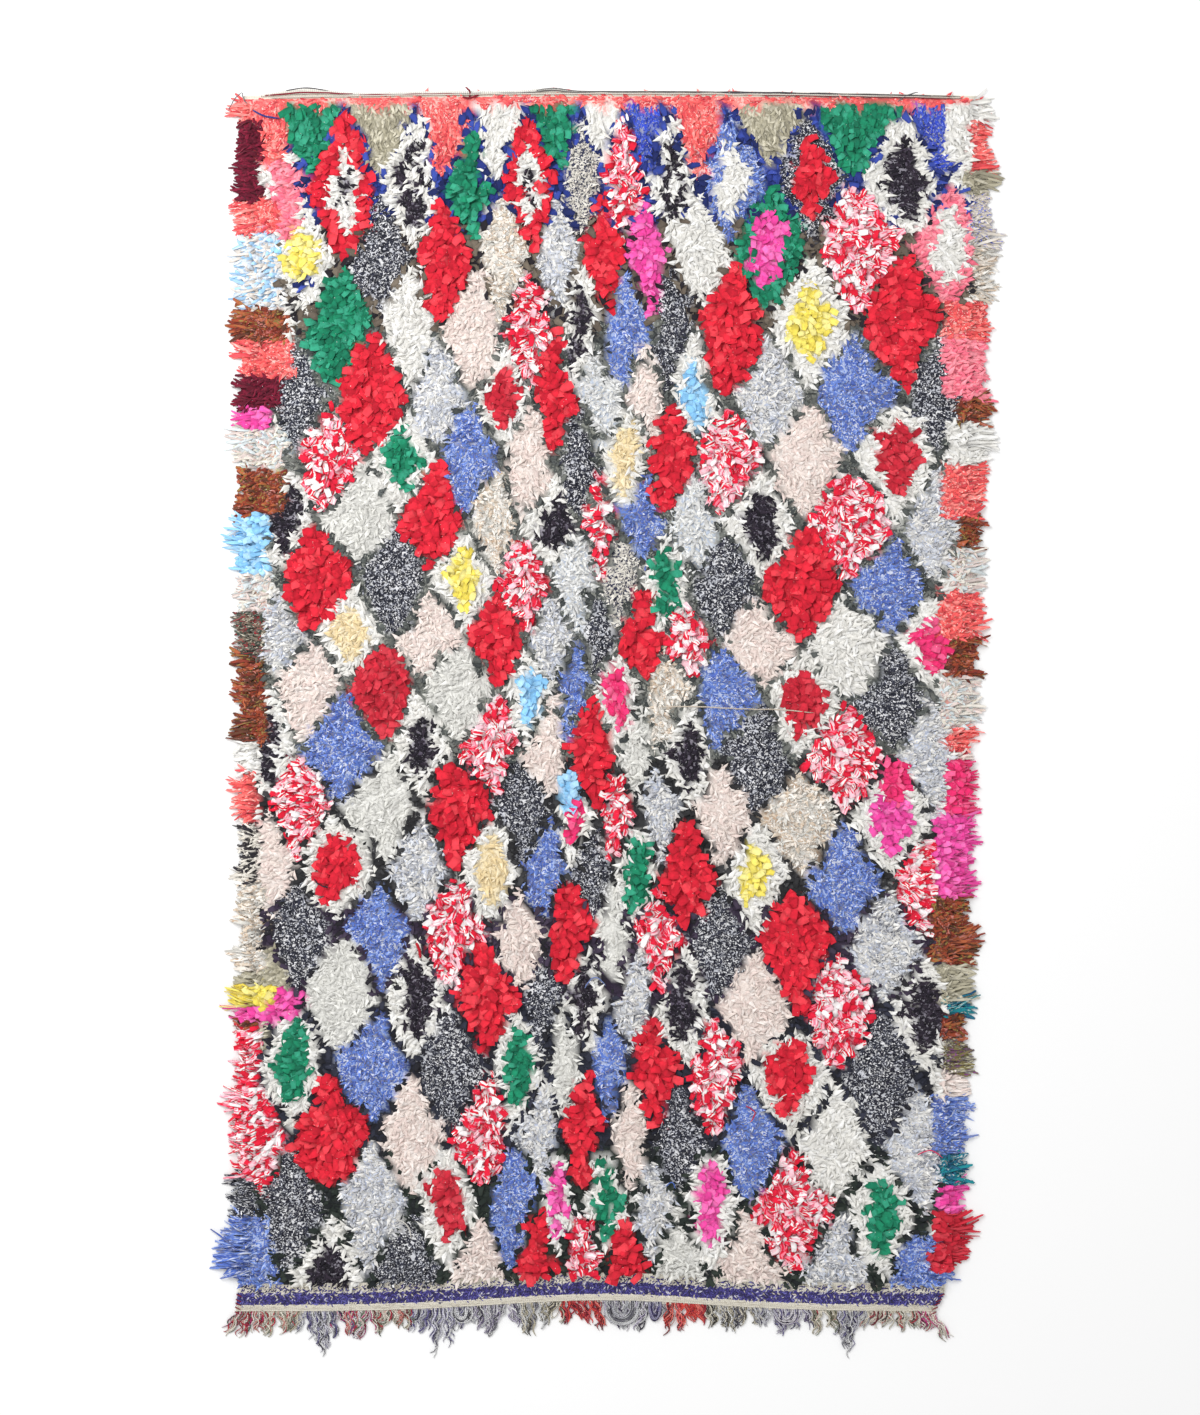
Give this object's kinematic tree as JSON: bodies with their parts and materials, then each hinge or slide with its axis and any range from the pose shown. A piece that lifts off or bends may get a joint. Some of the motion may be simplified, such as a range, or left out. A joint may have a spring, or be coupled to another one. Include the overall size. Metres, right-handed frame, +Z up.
{
  "type": "boucherouite rug",
  "caption": "Rectangular hand-knotted rag rug lying flat, with a lumpy pile of lozenges, rag ends along its sides, a hemmed top and a yarn fringe at the bottom.",
  "frame": {"origin": "on the floor under the middle of the rug, its box's bottom centre", "axes": "+Z up, +Y along the rug towards its hemmed top end, +X across it to the right as it is looked down on"},
  "size_m": [1.586, 2.526, 0.0238],
  "materials": {
    "rag_pile": "matte cut rags of cotton jersey and yarn, in many colours",
    "fringe_yarn": "matte plied yarn, mixed colours"
  },
  "bodies": {
    "root": {"rug": "rag_pile", "fringe": "fringe_yarn"}
  },
  "joints": []
}
